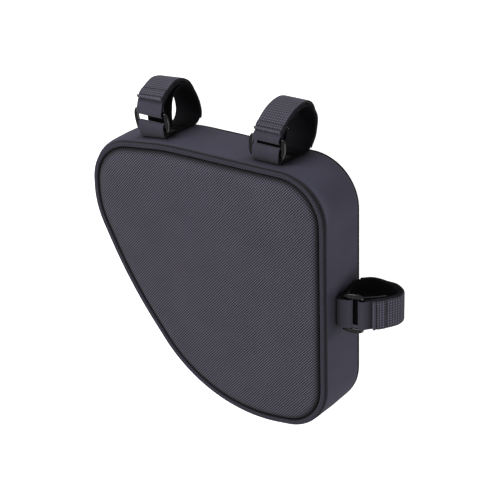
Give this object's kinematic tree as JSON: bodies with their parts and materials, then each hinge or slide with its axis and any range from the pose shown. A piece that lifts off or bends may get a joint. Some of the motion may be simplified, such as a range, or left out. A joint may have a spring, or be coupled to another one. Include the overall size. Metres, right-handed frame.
{
  "type": "bicycle frame bag",
  "caption": "Soft triangular bag for the inside of a bicycle frame, with a flat crowned panel on each side, a piped gusset and hook-and-loop strap loops along its top and one side.",
  "frame": {"origin": "middle of the back panel's flat outer face, which the bag lies on", "axes": "+X along the top edge towards the seat tube edge, +Y up that edge towards the top tube edge, +Z from the back panel to the front panel"},
  "size_m": [0.2769, 0.2722, 0.0618],
  "materials": {
    "panel_twill": "coarse charcoal ballistic twill with raised diagonals",
    "piping_twill": "fine charcoal twill folded over a soft cord",
    "gusset_nylon": "smooth coated charcoal nylon with a soft sheen",
    "hook_tape": "smooth charcoal hook-and-loop tape",
    "strap_webbing": "ribbed charcoal nylon webbing with stitched end",
    "ring_acetal": "satin black moulded acetal"
  },
  "bodies": {
    "root": {"front_panel": "panel_twill", "back_panel": "panel_twill", "front_piping": "piping_twill", "back_piping": "piping_twill", "gusset": "gusset_nylon", "top_left_tab": "hook_tape", "top_left_ring": "ring_acetal", "top_left_band": "hook_tape", "top_left_lap": "strap_webbing", "top_right_tab": "hook_tape", "top_right_ring": "ring_acetal", "top_right_band": "hook_tape", "top_right_lap": "strap_webbing", "side_tab": "hook_tape", "side_ring": "ring_acetal", "side_band": "hook_tape", "side_lap": "strap_webbing"}
  },
  "joints": []
}
